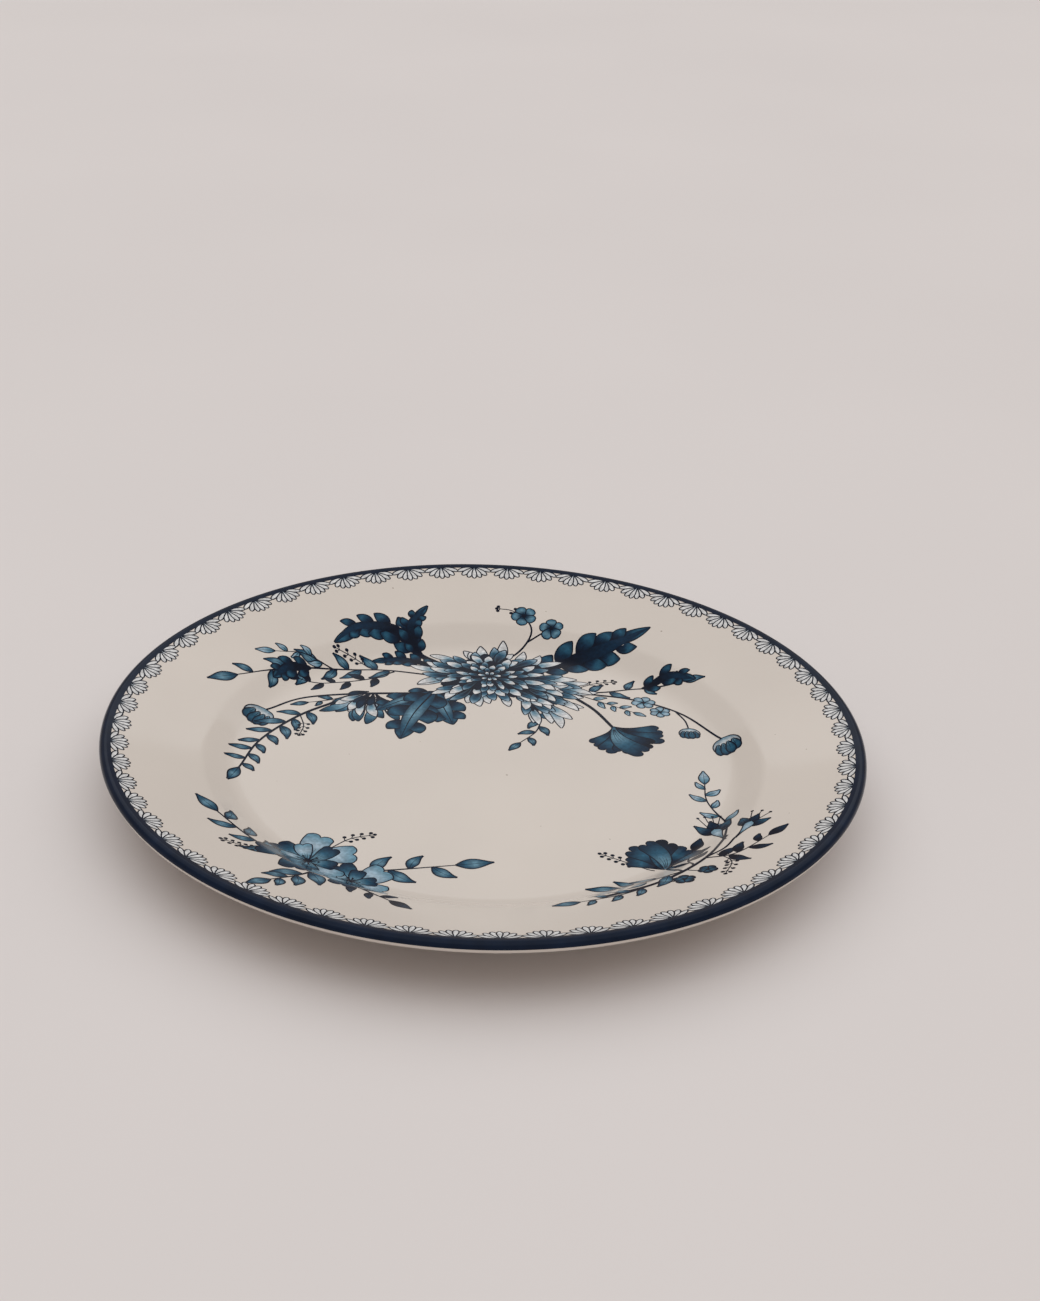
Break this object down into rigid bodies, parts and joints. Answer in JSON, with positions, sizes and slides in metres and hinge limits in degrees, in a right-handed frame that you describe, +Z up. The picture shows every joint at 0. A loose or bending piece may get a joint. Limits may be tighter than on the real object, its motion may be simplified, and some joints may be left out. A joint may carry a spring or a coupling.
{
  "type": "dinner plate",
  "caption": "Round glazed porcelain dinner plate with a flat well, a cove, a broad sloping rim, a rounded lip and a foot ring underneath.",
  "frame": {"origin": "on the plate's axis, in the plane that the foot ring stands on", "axes": "+Z up along the plate's axis, +Y towards the top of the decoration, +X to its right"},
  "size_m": [0.27, 0.27, 0.024],
  "materials": {
    "ivory_glaze": "smooth gloss glaze over cream-white porcelain",
    "underglaze_blue": "dark teal-blue printed colour under the gloss glaze: lip band, border and sprays",
    "bare_foot": "unglazed fired clay, wiped dry, on the bearing face of the foot ring"
  },
  "bodies": {
    "root": {"plate_body": "ivory_glaze"}
  },
  "joints": []
}
